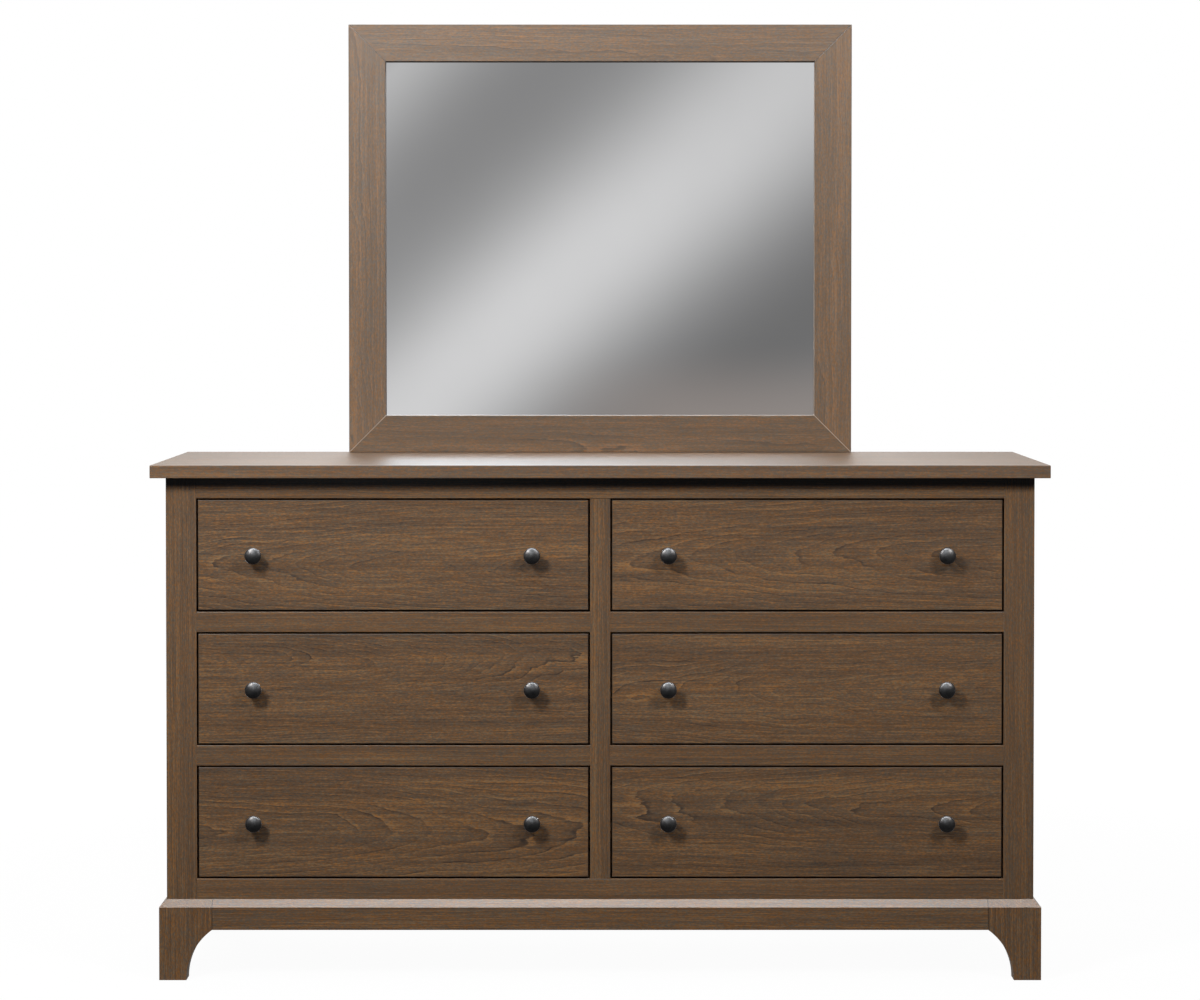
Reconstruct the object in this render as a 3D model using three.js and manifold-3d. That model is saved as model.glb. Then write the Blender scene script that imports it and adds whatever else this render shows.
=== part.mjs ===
// A dresser with a mitred mirror standing on its top. Six inset drawers in two columns slide on
// wooden runners. Lengths are in millimetres, +Z is up, the front faces -Y and the floor is z = 0.

import * as THREE from "three";
import { mergeVertices } from "three/addons/utils/BufferGeometryUtils.js";
import Module from "manifold-3d";

const wasm = await Module();
wasm.setup();

// Clearances
const glueLine = 0.2; // between boards that are glued or screwed face to face
const fitGap = 0.3; // between pieces that slide, or that are let into each other
const overrun = 3; // how far a cutting shape passes the face it cuts
const mergeDistance = 0.0001;

// Dresser, outside
const dresserHeight = 921;
const topWidth = 1600;
const topDepth = 483;
const topThickness = 23;
const topOverhang = 25;
const topEase = 1;
const baseHeight = 143;

// Case
const sideThickness = 20;
const frameThickness = 22;
const stileWidth = 54;
const centreStileWidth = 36;
const topRailHeight = 37.5;
const railHeight = 36.5;
const partitionThickness = 20;
const floorThickness = 12;
const floorRise = 12;
const floorDadoDepth = 8;
const backThickness = 6;
const backRebateWidth = 10;

// Base
const baseProjection = 12.5;
const baseThickness = 34.5;
const baseBevel = 12.5;
const apronClearance = 90;
const footWidth = 94.5;
const footSoleWidth = 48.5;
const rearBracketThickness = 20;

// Drawers
const columns = ["left", "right"];
const rows = ["lower", "middle", "upper"];
const drawerGap = 3;
const frontThickness = 20;
const frontEase = 1;
const boxDepth = 415;
const boxHeight = 170;
const boxWall = 12;
const drawerFloorThickness = 6;
const drawerFloorRise = 10;
const drawerFloorLetIn = 6;

// Half-blind dovetails between a drawer's front and its sides
const tailCount = 5;
const tailLength = 14;
const tailRootShare = 0.6;
const tailSlope = 1 / 7;

// Runners
const runnerHeight = 16;
const runnerReach = 6;
const runnerSetback = 8;
const runnerEndSpace = 12;
const spacerHeight = 60;

// Knobs
const knobRadius = 15;
const knobProjection = 28;
const knobInset = 100.5;
const knobBaseRadius = 10;
const knobBaseThickness = 2.5;
const knobNeckRadius = 6;
const knobNeckLength = 8;
const screwRadius = 2;
const screwHeadRadius = 4.5;
const screwHeadHeight = 2.5;
const knobSides = 18;
const knobRings = 8;

// Mirror
const mirrorWidth = 969;
const mirrorHeight = 824;
const mirrorFrameWidth = 71;
const mirrorFrameThickness = 24;
const mirrorFrameEase = 1;
const mirrorLip = 14;
const mirrorRebateWidth = 9;
const mirrorGlassThickness = 4;
const mitreGap = 0.2;

// Mirror supports
const supportWidth = 64;
const supportThickness = 19;
const supportSpacing = 600;
const supportOverlapBelow = 339;
const supportOverlapAbove = 36;

// Sizes that follow
const caseWidth = topWidth - 2 * topOverhang;
const caseDepth = topDepth - topOverhang;
const caseHalf = caseWidth / 2;
const caseTop = dresserHeight - topThickness;
const caseHeight = caseTop - baseHeight;
const sideInner = caseHalf - sideThickness;
const openingOuter = caseHalf - stileWidth;
const openingInner = centreStileWidth / 2;
const openingWidth = openingOuter - openingInner;
const railsHeight = topRailHeight + rows.length * railHeight;
const openingHeight = (caseHeight - railsHeight) / rows.length;
const drawerWidth = openingWidth - 2 * drawerGap;
const frontHeight = openingHeight - 2 * drawerGap;
const backPlane = caseDepth - backThickness;
const floorTop = baseHeight + floorRise + floorThickness;
const boxBack = frontThickness + boxDepth;
const runnerLevel = boxHeight / 2;
const runnerFront = frameThickness + runnerSetback;
const runnerBack = backPlane - runnerEndSpace;
const footMeeting = { x: caseHalf + baseProjection, y: -baseProjection };
const knobFront = -knobProjection;
const supportBack = caseDepth + supportThickness;

// Colours are those of the photograph
const wood = (colour) => new THREE.MeshStandardMaterial({ color: colour, roughness: 0.42, metalness: 0 });
const caseWood = wood(0x6b4527);
const topWood = wood(0x7a5335);
const frontWood = wood(0x74492a);
const baseWood = wood(0x5f3c22);
const frameWood = wood(0x80572f);
const innerWood = wood(0xc6a57c);
const drawerWood = wood(0xcfb48c);
const backWood = wood(0xa98a64);
const knobMetal = new THREE.MeshStandardMaterial({ color: 0x1f1b19, roughness: 0.35, metalness: 0.8 });
const mirrorGlass = new THREE.MeshStandardMaterial({ color: 0xd8dcdc, roughness: 0.03, metalness: 1 });

// Boolean work on closed geometries
function toSolid(geometry) {
  const bare = new THREE.BufferGeometry();
  bare.setAttribute("position", geometry.getAttribute("position"));
  bare.setIndex(geometry.getIndex());
  const merged = mergeVertices(bare, mergeDistance);
  const vertProperties = Float32Array.from(merged.getAttribute("position").array);
  const triVerts = Uint32Array.from(merged.getIndex().array);
  return new wasm.Manifold(new wasm.Mesh({ numProp: 3, vertProperties, triVerts }));
}

function toGeometry(solid) {
  const mesh = solid.getMesh();
  const geometry = new THREE.BufferGeometry();
  geometry.setAttribute("position", new THREE.BufferAttribute(mesh.vertProperties, 3));
  geometry.setIndex(new THREE.BufferAttribute(mesh.triVerts, 1));
  return geometry;
}

function carve(blank, cutters) {
  return toGeometry(cutters.reduce((solid, cutter) => solid.subtract(toSolid(cutter)), toSolid(blank)));
}

function fuse(geometries) {
  return toGeometry(geometries.map(toSolid).reduce((whole, next) => whole.add(next)));
}

// A box that fills three spans, each given as its two ends in either order
function block(spanX, spanY, spanZ) {
  const box = new THREE.Box3().setFromPoints([
    new THREE.Vector3(spanX[0], spanY[0], spanZ[0]),
    new THREE.Vector3(spanX[1], spanY[1], spanZ[1]),
  ]);
  const size = box.getSize(new THREE.Vector3());
  const middle = box.getCenter(new THREE.Vector3());
  return new THREE.BoxGeometry(size.x, size.y, size.z).translate(middle.x, middle.y, middle.z);
}

function shapeOf(points) {
  return new THREE.Shape(points.map(([across, up]) => new THREE.Vector2(across, up)));
}

const axisX = new THREE.Vector3(1, 0, 0);
const axisY = new THREE.Vector3(0, 1, 0);
const axisZ = new THREE.Vector3(0, 0, 1);

// An outline drawn in x and z, extruded from y = start to the back
function outlineXZ(shape, depth, start) {
  const geometry = new THREE.ExtrudeGeometry(shape, { depth, bevelEnabled: false, curveSegments: 10 });
  geometry.applyMatrix4(new THREE.Matrix4().makeBasis(axisX, axisZ, axisY.clone().negate()));
  return geometry.translate(0, start + depth, 0);
}

// A section drawn in y and z, extruded along x from start
function sectionYZ(shape, length, start) {
  const settings = { depth: length, bevelEnabled: false, curveSegments: 10 };
  const geometry = new THREE.ExtrudeGeometry(shape, settings);
  geometry.applyMatrix4(new THREE.Matrix4().makeBasis(axisY, axisZ, axisX));
  return geometry.translate(start, 0, 0);
}

// A flat board in x and y with all its long edges eased, from z = 0 up
function easedBoard(width, height, thickness, ease) {
  const rectangle = shapeOf([
    [-width / 2, -height / 2],
    [width / 2, -height / 2],
    [width / 2, height / 2],
    [-width / 2, height / 2],
  ]);
  const geometry = new THREE.ExtrudeGeometry(rectangle, {
    depth: thickness - 2 * ease,
    bevelEnabled: true,
    bevelThickness: ease,
    bevelSize: ease,
    bevelOffset: -ease,
    bevelSegments: 2,
  });
  return geometry.translate(0, 0, ease);
}

// Slides the end vertices of a member that runs along x, so that its ends are mitred.
// inward(vertex) is the distance from the edge that forms the outer corner.
function mitre(geometry, ends, inward) {
  const position = geometry.getAttribute("position");
  const vertex = new THREE.Vector3();
  for (let i = 0; i < position.count; i += 1) {
    vertex.fromBufferAttribute(position, i);
    const end = ends.find((candidate) => Math.abs(vertex.x - candidate.at) < mitreGap);
    if (end) position.setX(i, end.at + end.towardMiddle * (inward(vertex) + mitreGap));
  }
  return geometry;
}

function addPiece(group, name, geometry, material) {
  const mesh = new THREE.Mesh(geometry, material);
  mesh.name = name;
  group.add(mesh);
  return mesh;
}

// A plain board that fills three spans, placed by its centre
function addBoard(group, name, material, spanX, spanY, spanZ) {
  const size = new THREE.Vector3(spanX[1] - spanX[0], spanY[1] - spanY[0], spanZ[1] - spanZ[0]);
  const mesh = addPiece(group, name, new THREE.BoxGeometry(size.x, size.y, size.z), material);
  mesh.position.set(spanX[0] + size.x / 2, spanY[0] + size.y / 2, spanZ[0] + size.z / 2);
}

const openingBottom = (row) => baseHeight + railHeight + row * (openingHeight + railHeight);

// Top board
function addTop(group) {
  const geometry = easedBoard(topWidth, topDepth, topThickness, topEase);
  const top = addPiece(group, "top_panel", geometry, topWood);
  top.position.set(0, topDepth / 2 - topOverhang, caseTop);
}

// Spacers and runner strips on a vertical board's face, toward side, for every row of drawers.
// face is where the board's face lies and opening is where the drawer opening's edge lies.
function runnersOn(side, face, opening) {
  const embedded = face - Math.sign(opening - face) * (sideThickness / 2);
  const tip = opening + Math.sign(opening - face) * (drawerGap + runnerReach);
  const pieces = [];
  rows.forEach((name, row) => {
    const level = openingBottom(row) + drawerGap + runnerLevel;
    const spacer = [level - spacerHeight / 2, level + spacerHeight / 2];
    const strip = [level - runnerHeight / 2, level + runnerHeight / 2];
    const front = frameThickness + glueLine;
    pieces.push(block([side * embedded, side * opening], [front, runnerBack], spacer));
    pieces.push(block([side * face, side * tip], [runnerFront, runnerBack], strip));
  });
  return pieces;
}

// Side panels, with a dado for the case floor and a rebate for the back
function addSidePanel(group, name, side) {
  const spanZ = [baseHeight, caseTop - glueLine];
  const panel = block([side * sideInner, side * caseHalf], [frameThickness + glueLine, caseDepth], spanZ);
  const dadoX = [side * (sideInner - overrun), side * (sideInner + floorDadoDepth)];
  const dadoZ = [baseHeight + floorRise - glueLine, floorTop + glueLine];
  const dado = block(dadoX, [frameThickness, caseDepth + overrun], dadoZ);
  const rebateX = [side * (sideInner - overrun), side * (sideInner + backRebateWidth)];
  const rebate = block(rebateX, [backPlane, caseDepth + overrun], [0, dresserHeight]);
  const board = carve(panel, [dado, rebate]);
  addPiece(group, name, fuse([board, ...runnersOn(side, sideInner, openingOuter)]), caseWood);
}

function addPartition(group) {
  const half = partitionThickness / 2;
  const spanY = [frameThickness + glueLine, backPlane - glueLine];
  const board = block([-half, half], spanY, [floorTop + glueLine, caseTop - glueLine]);
  const runners = [-1, 1].flatMap((side) => runnersOn(side, half, openingInner));
  addPiece(group, "centre_partition", fuse([board, ...runners]), innerWood);
}

// Face frame. The divider rails run the full width and are half-lapped behind the centre stile.
function addFaceFrame(group) {
  const spanY = [0, frameThickness];
  const stileZ = [baseHeight, caseTop - glueLine];
  addBoard(group, "left_stile", caseWood, [-caseHalf, -openingOuter], spanY, stileZ);
  addBoard(group, "right_stile", caseWood, [openingOuter, caseHalf], spanY, stileZ);
  const reach = openingOuter - glueLine;
  const topRailZ = [caseTop - topRailHeight, caseTop - glueLine];
  addBoard(group, "top_rail", caseWood, [-reach, reach], spanY, topRailZ);
  const bottomRailZ = [baseHeight, baseHeight + railHeight];
  addBoard(group, "bottom_rail", caseWood, [-reach, reach], spanY, bottomRailZ);

  const lap = frameThickness / 2;
  const notch = openingInner + glueLine;
  const rail = shapeOf([
    [-reach, 0],
    [-notch, 0],
    [-notch, lap + glueLine],
    [notch, lap + glueLine],
    [notch, 0],
    [reach, 0],
    [reach, frameThickness],
    [-reach, frameThickness],
  ]);
  const dividers = rows.slice(1).map((name, row) => openingBottom(row) + openingHeight);
  ["lower_divider_rail", "upper_divider_rail"].forEach((name, i) => {
    const geometry = new THREE.ExtrudeGeometry(rail, { depth: railHeight, bevelEnabled: false });
    addPiece(group, name, geometry, caseWood).position.set(0, 0, dividers[i]);
  });

  const bottom = baseHeight + railHeight + glueLine;
  const points = [
    [0, bottom],
    [0, caseTop - topRailHeight - glueLine],
    [frameThickness, caseTop - topRailHeight - glueLine],
  ];
  for (const level of [...dividers].reverse()) {
    points.push([frameThickness, level + railHeight + glueLine]);
    points.push([lap, level + railHeight + glueLine]);
    points.push([lap, level - glueLine]);
    points.push([frameThickness, level - glueLine]);
  }
  points.push([frameThickness, bottom]);
  const stile = sectionYZ(shapeOf(points), centreStileWidth, -openingInner);
  addPiece(group, "centre_stile", stile, caseWood);
}

function addFloorAndBack(group) {
  const floorHalf = sideInner + floorDadoDepth - fitGap;
  const floorY = [frameThickness + glueLine, backPlane - glueLine];
  const floorZ = [baseHeight + floorRise, floorTop];
  addBoard(group, "case_floor", innerWood, [-floorHalf, floorHalf], floorY, floorZ);
  const backHalf = sideInner + backRebateWidth - fitGap;
  const backZ = [baseHeight, caseTop - glueLine];
  addBoard(group, "back_panel", backWood, [-backHalf, backHalf], [backPlane, caseDepth], backZ);
}

// Base. Each face is drawn as seen from outside: x along it, y into it from its outer face.
const footRun = footWidth - footSoleWidth;
const footArcRadius = (footRun ** 2 + apronClearance ** 2) / (2 * footRun);
const baseTop = baseHeight - glueLine;

// The base moulding's section, with its bevelled upper edge, from a height up
function baseSection(bottom) {
  return shapeOf([
    [0, bottom],
    [baseThickness, bottom],
    [baseThickness, baseTop],
    [baseBevel, baseTop],
    [0, baseTop - baseBevel],
  ]);
}

// A foot's outline from its corner toward the apron: an upright sole end and a round inner edge
function footOutline(toward, start) {
  const arcCentre = footSoleWidth + footArcRadius;
  const arcEnd = Math.asin(apronClearance / footArcRadius);
  const outline = new THREE.Shape();
  outline.moveTo(toward * start, 0);
  outline.lineTo(toward * footSoleWidth, 0);
  if (toward > 0) outline.absarc(arcCentre, 0, footArcRadius, Math.PI, Math.PI - arcEnd, true);
  else outline.absarc(-arcCentre, 0, footArcRadius, 0, arcEnd, false);
  outline.lineTo(toward * (footWidth - glueLine), apronClearance);
  outline.lineTo(toward * (footWidth - glueLine), baseTop);
  outline.lineTo(toward * start, baseTop);
  return outline;
}

// A foot whose outer corner is at x = 0, mitred there when it meets another at a corner
function footGeometry(toward, mitred) {
  const start = Math.min(0, toward * footWidth);
  const moulding = sectionYZ(baseSection(0), footWidth, start);
  if (mitred) mitre(moulding, [{ at: 0, towardMiddle: toward }], (vertex) => vertex.y);
  const outline = outlineXZ(footOutline(toward, -overrun), baseThickness + 2 * overrun, -overrun);
  return toGeometry(toSolid(moulding).intersect(toSolid(outline)));
}

// A rear foot has a bracket behind it that runs inward along the back
function rearFootGeometry(toward) {
  const foot = footGeometry(toward, false);
  const bracket = sectionYZ(footOutline(1, baseBevel), rearBracketThickness, 0);
  if (toward < 0) bracket.translate(-rearBracketThickness, 0, 0);
  return fuse([foot, bracket]);
}

function addApron(group, name, spanX) {
  const section = baseSection(apronClearance);
  addPiece(group, name, sectionYZ(section, spanX[1] - spanX[0], spanX[0]), baseWood);
}

function addBase(group) {
  const front = new THREE.Group();
  front.position.set(0, footMeeting.y, 0);
  group.add(front);
  addApron(front, "front_apron", [footWidth - footMeeting.x, footMeeting.x - footWidth]);
  addPiece(front, "front_left_foot", footGeometry(1, true), baseWood).position.set(-footMeeting.x, 0, 0);
  addPiece(front, "front_right_foot", footGeometry(-1, true), baseWood).position.set(footMeeting.x, 0, 0);

  const run = caseDepth - footMeeting.y;
  for (const [name, side] of [["left", -1], ["right", 1]]) {
    const face = new THREE.Group();
    face.position.set(side * footMeeting.x, footMeeting.y, 0);
    face.rotation.z = (side * Math.PI) / 2;
    group.add(face);
    addPiece(face, name + "_side_front_foot", footGeometry(side, true), baseWood);
    const apron = [side * footWidth, side * (run - footWidth)].sort((a, b) => a - b);
    addApron(face, name + "_side_apron", apron);
    const rear = addPiece(face, name + "_rear_foot", rearFootGeometry(-side), baseWood);
    rear.position.set(side * run, 0, 0);
  }
}

// Drawers, each drawn with x = 0 in its middle, y = 0 at its face and z = 0 at its lower edge

// The tails on a side's front end, or the larger sockets that take them
function tailShapes(grow, behind) {
  const pitch = boxHeight / tailCount;
  const root = (pitch * tailRootShare) / 2 + grow;
  const tip = root + tailLength * tailSlope;
  const end = frontThickness - tailLength - grow;
  return Array.from({ length: tailCount }, (unused, i) => {
    const middle = pitch * (i + 1 / 2);
    return [
      [frontThickness + behind, middle - root],
      [end, middle - tip],
      [end, middle + tip],
      [frontThickness + behind, middle + root],
    ];
  });
}

function drawerSideShape() {
  const shoulder = frontThickness + glueLine;
  const tails = tailShapes(0, glueLine).flat();
  return shapeOf([[boxBack, 0], [shoulder, 0], ...tails, [shoulder, boxHeight], [boxBack, boxHeight]]);
}

const groovePlane = [drawerFloorRise - glueLine, drawerFloorRise + drawerFloorThickness + glueLine];
const boxInner = drawerWidth / 2 - boxWall;
const knobReach = drawerWidth / 2 - knobInset;
const holeRadius = screwRadius + fitGap;

// The front: sockets at both ends, a groove for the drawer's floor and holes for the knobs' screws
function drawerFrontGeometry() {
  const blank = easedBoard(drawerWidth, frontHeight, frontThickness + overrun, frontEase);
  blank.applyMatrix4(new THREE.Matrix4().makeBasis(axisX, axisZ, axisY.clone().negate()));
  blank.translate(0, frontThickness + overrun, frontHeight / 2);
  const wide = [-drawerWidth, drawerWidth];
  const cutters = [block(wide, [frontThickness, frontThickness + 2 * overrun], [-overrun, openingHeight])];
  for (const side of [-1, 1]) {
    const start = side * (boxInner - fitGap);
    const end = side * (drawerWidth / 2 + overrun);
    for (const tail of tailShapes(fitGap, overrun)) {
      cutters.push(sectionYZ(shapeOf(tail), Math.abs(end - start), Math.min(start, end)));
    }
    const hole = new THREE.CylinderGeometry(holeRadius, holeRadius, 2 * frontThickness, knobSides);
    cutters.push(hole.translate(side * knobReach, frontThickness / 2, frontHeight / 2));
  }
  const grooveY = [frontThickness - drawerFloorLetIn, frontThickness + overrun];
  cutters.push(block([-boxInner, boxInner], grooveY, groovePlane));
  return carve(blank, cutters);
}

// Two sides with tails and the back, grooved for the floor inside and for the runners outside
function drawerBoxGeometry() {
  const walls = [-1, 1].map((side) => {
    return sectionYZ(drawerSideShape(), boxWall, side > 0 ? boxInner : -drawerWidth / 2);
  });
  const backX = [-boxInner - boxWall / 2, boxInner + boxWall / 2];
  const back = block(backX, [boxBack - boxWall, boxBack], [0, boxHeight]);
  const cutters = [];
  const grooved = boxInner + drawerFloorLetIn;
  cutters.push(block([-grooved, grooved], [0, boxBack - boxWall + drawerFloorLetIn], groovePlane));
  for (const side of [-1, 1]) {
    const depth = [side * (drawerWidth / 2 - runnerReach - fitGap), side * drawerWidth];
    const half = runnerHeight / 2 + fitGap;
    const level = [runnerLevel - half, runnerLevel + half];
    cutters.push(block(depth, [runnerFront - fitGap, boxBack + overrun], level));
  }
  return carve(fuse([...walls, back]), cutters);
}

function drawerFloorGeometry() {
  const half = boxInner + drawerFloorLetIn - fitGap;
  const front = frontThickness - drawerFloorLetIn + fitGap;
  const rear = boxBack - boxWall + drawerFloorLetIn - fitGap;
  return block([-half, half], [front, rear], [drawerFloorRise, drawerFloorRise + drawerFloorThickness]);
}

// A round knob, turned about y, with the screw that holds it from inside the drawer
function knobGeometry() {
  const profile = [];
  const headLength = knobProjection - knobBaseThickness - knobNeckLength;
  const headStart = Math.asin(knobNeckRadius / knobRadius);
  for (let i = 0; i <= knobRings; i += 1) {
    const angle = ((Math.PI - headStart) * i) / knobRings;
    const along = (headLength * (1 - Math.cos(angle))) / (1 + Math.cos(headStart));
    profile.push(new THREE.Vector2(knobRadius * Math.sin(angle), knobFront + along));
  }
  const seat = frontThickness + glueLine;
  profile.push(new THREE.Vector2(knobNeckRadius, -knobBaseThickness));
  profile.push(new THREE.Vector2(knobBaseRadius, -knobBaseThickness));
  profile.push(new THREE.Vector2(knobBaseRadius, -glueLine));
  profile.push(new THREE.Vector2(screwRadius, -glueLine));
  profile.push(new THREE.Vector2(screwRadius, seat));
  profile.push(new THREE.Vector2(screwHeadRadius, seat));
  profile.push(new THREE.Vector2(screwHeadRadius, seat + screwHeadHeight / 2));
  profile.push(new THREE.Vector2(screwHeadRadius / 2, seat + screwHeadHeight));
  profile.push(new THREE.Vector2(0, seat + screwHeadHeight));
  return new THREE.LatheGeometry(profile, knobSides);
}

function addDrawers(group) {
  const front = drawerFrontGeometry();
  const box = drawerBoxGeometry();
  const floor = drawerFloorGeometry();
  const knob = knobGeometry();
  rows.forEach((rowName, row) => {
    columns.forEach((columnName, column) => {
      const side = column === 0 ? -1 : 1;
      const name = rowName + "_" + columnName + "_drawer";
      const drawer = new THREE.Group();
      drawer.position.set((side * (openingInner + openingOuter)) / 2, 0, openingBottom(row) + drawerGap);
      group.add(drawer);
      addPiece(drawer, name + "_front", front, frontWood);
      addPiece(drawer, name + "_box", box, drawerWood);
      addPiece(drawer, name + "_floor", floor, drawerWood);
      addPiece(drawer, name + "_left_knob", knob, knobMetal).position.set(-knobReach, 0, frontHeight / 2);
      addPiece(drawer, name + "_right_knob", knob, knobMetal).position.set(knobReach, 0, frontHeight / 2);
    });
  });
}

// One mitred member of the mirror's frame. z = 0 is its outer edge and y = 0 its face.
function frameMember(length) {
  const rebate = mirrorFrameWidth - mirrorRebateWidth;
  const section = shapeOf([
    [0, mirrorFrameEase],
    [mirrorFrameEase, 0],
    [mirrorFrameThickness, 0],
    [mirrorFrameThickness, rebate],
    [mirrorLip, rebate],
    [mirrorLip, mirrorFrameWidth],
    [mirrorFrameEase, mirrorFrameWidth],
    [0, mirrorFrameWidth - mirrorFrameEase],
  ]);
  const half = length / 2;
  const ends = [
    { at: -half, towardMiddle: 1 },
    { at: half, towardMiddle: -1 },
  ];
  return mitre(sectionYZ(section, length, -half), ends, (vertex) => vertex.z);
}

function addMirror(group) {
  const mirror = new THREE.Group();
  const face = caseDepth - mirrorFrameThickness;
  mirror.position.set(0, face, dresserHeight + glueLine + mirrorHeight / 2);
  group.add(mirror);
  const members = [
    ["mirror_bottom_rail", mirrorWidth, 0, 0, -mirrorHeight / 2],
    ["mirror_top_rail", mirrorWidth, Math.PI, 0, mirrorHeight / 2],
    ["mirror_left_stile", mirrorHeight, Math.PI / 2, -mirrorWidth / 2, 0],
    ["mirror_right_stile", mirrorHeight, -Math.PI / 2, mirrorWidth / 2, 0],
  ];
  for (const [name, length, turn, x, z] of members) {
    const mesh = addPiece(mirror, name, frameMember(length), frameWood);
    mesh.position.set(x, 0, z);
    mesh.rotation.y = turn;
  }
  const reach = mirrorRebateWidth - mirrorFrameWidth - fitGap;
  const spanX = [-mirrorWidth / 2 - reach, mirrorWidth / 2 + reach];
  const spanZ = [-mirrorHeight / 2 - reach, mirrorHeight / 2 + reach];
  const glassY = [mirrorLip + glueLine, mirrorLip + glueLine + mirrorGlassThickness];
  addBoard(mirror, "mirror_glass", mirrorGlass, spanX, glassY, spanZ);
  const backingY = [glassY[1] + glueLine, mirrorFrameThickness];
  addBoard(mirror, "mirror_backing", backWood, spanX, backingY, spanZ);
}

function addSupports(group) {
  const spanY = [caseDepth + glueLine, supportBack];
  const spanZ = [dresserHeight - supportOverlapBelow, dresserHeight + mirrorHeight - supportOverlapAbove];
  for (const [name, side] of [["left", -1], ["right", 1]]) {
    const middle = (side * supportSpacing) / 2;
    const spanX = [middle - supportWidth / 2, middle + supportWidth / 2];
    addBoard(group, name + "_mirror_support", backWood, spanX, spanY, spanZ);
  }
}

// The origin is on the floor, under the middle of the whole from knobs to mirror supports
const dresser = new THREE.Group();
dresser.position.y = -(knobFront + supportBack) / 2;
addTop(dresser);
addSidePanel(dresser, "left_side_panel", -1);
addSidePanel(dresser, "right_side_panel", 1);
addPartition(dresser);
addFaceFrame(dresser);
addFloorAndBack(dresser);
addBase(dresser);
addDrawers(dresser);
addMirror(dresser);
addSupports(dresser);

export default dresser;
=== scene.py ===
import math
import random

import bmesh
import bpy
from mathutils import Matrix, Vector


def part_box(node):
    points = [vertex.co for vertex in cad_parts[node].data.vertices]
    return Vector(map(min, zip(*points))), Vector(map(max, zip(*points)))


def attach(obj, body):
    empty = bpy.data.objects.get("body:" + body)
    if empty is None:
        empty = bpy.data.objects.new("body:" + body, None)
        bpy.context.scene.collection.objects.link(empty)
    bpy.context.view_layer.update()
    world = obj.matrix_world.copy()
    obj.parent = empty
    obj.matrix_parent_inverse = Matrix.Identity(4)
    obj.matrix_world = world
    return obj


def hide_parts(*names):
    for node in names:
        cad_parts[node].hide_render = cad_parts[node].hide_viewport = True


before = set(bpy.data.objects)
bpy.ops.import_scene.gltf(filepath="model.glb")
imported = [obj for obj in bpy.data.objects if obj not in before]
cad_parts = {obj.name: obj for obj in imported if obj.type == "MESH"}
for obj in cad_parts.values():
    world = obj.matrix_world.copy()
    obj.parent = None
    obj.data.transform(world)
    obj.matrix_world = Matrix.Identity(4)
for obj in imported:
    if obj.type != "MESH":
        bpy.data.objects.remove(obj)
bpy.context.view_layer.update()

MILLIMETRE = 0.001
TOUCH = 0.05 * MILLIMETRE
AXES = "XYZ"
RIGHT_ANGLE = math.pi / 2


# Colours

def colour(red, green, blue):
    """A colour named as 0 to 255 on a screen, in the linear values that shaders take."""
    linear = []
    for value in (red, green, blue):
        share = value / 255
        linear.append(share / 12.92 if share <= 0.04045 else ((share + 0.055) / 1.055) ** 2.4)
    return (*linear, 1.0)


def grey(tone):
    """A grey named as 0 to 255 on a screen."""
    return colour(tone, tone, tone)


WHITE = grey(255)


# Shader trees

class Value:
    """A socket that arithmetic can be written on: each operation adds one Math node."""

    def __init__(self, paint, socket):
        self.paint = paint
        self.socket = socket

    def math(self, operation, *others):
        return self.paint.node("ShaderNodeMath", {"operation": operation}, dict(enumerate((self, *others))))

    def reflected(self, operation, first):
        return self.paint.node("ShaderNodeMath", {"operation": operation}, {0: first, 1: self})

    def output(self, name):
        return Value(self.paint, self.socket.node.outputs[name])

    def __add__(self, other):
        return self.math("ADD", other)

    def __radd__(self, other):
        return self.reflected("ADD", other)

    def __sub__(self, other):
        return self.math("SUBTRACT", other)

    def __rsub__(self, other):
        return self.reflected("SUBTRACT", other)

    def __mul__(self, other):
        return self.math("MULTIPLY", other)

    def __rmul__(self, other):
        return self.reflected("MULTIPLY", other)

    def __truediv__(self, other):
        return self.math("DIVIDE", other)

    def __rtruediv__(self, other):
        return self.reflected("DIVIDE", other)


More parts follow.
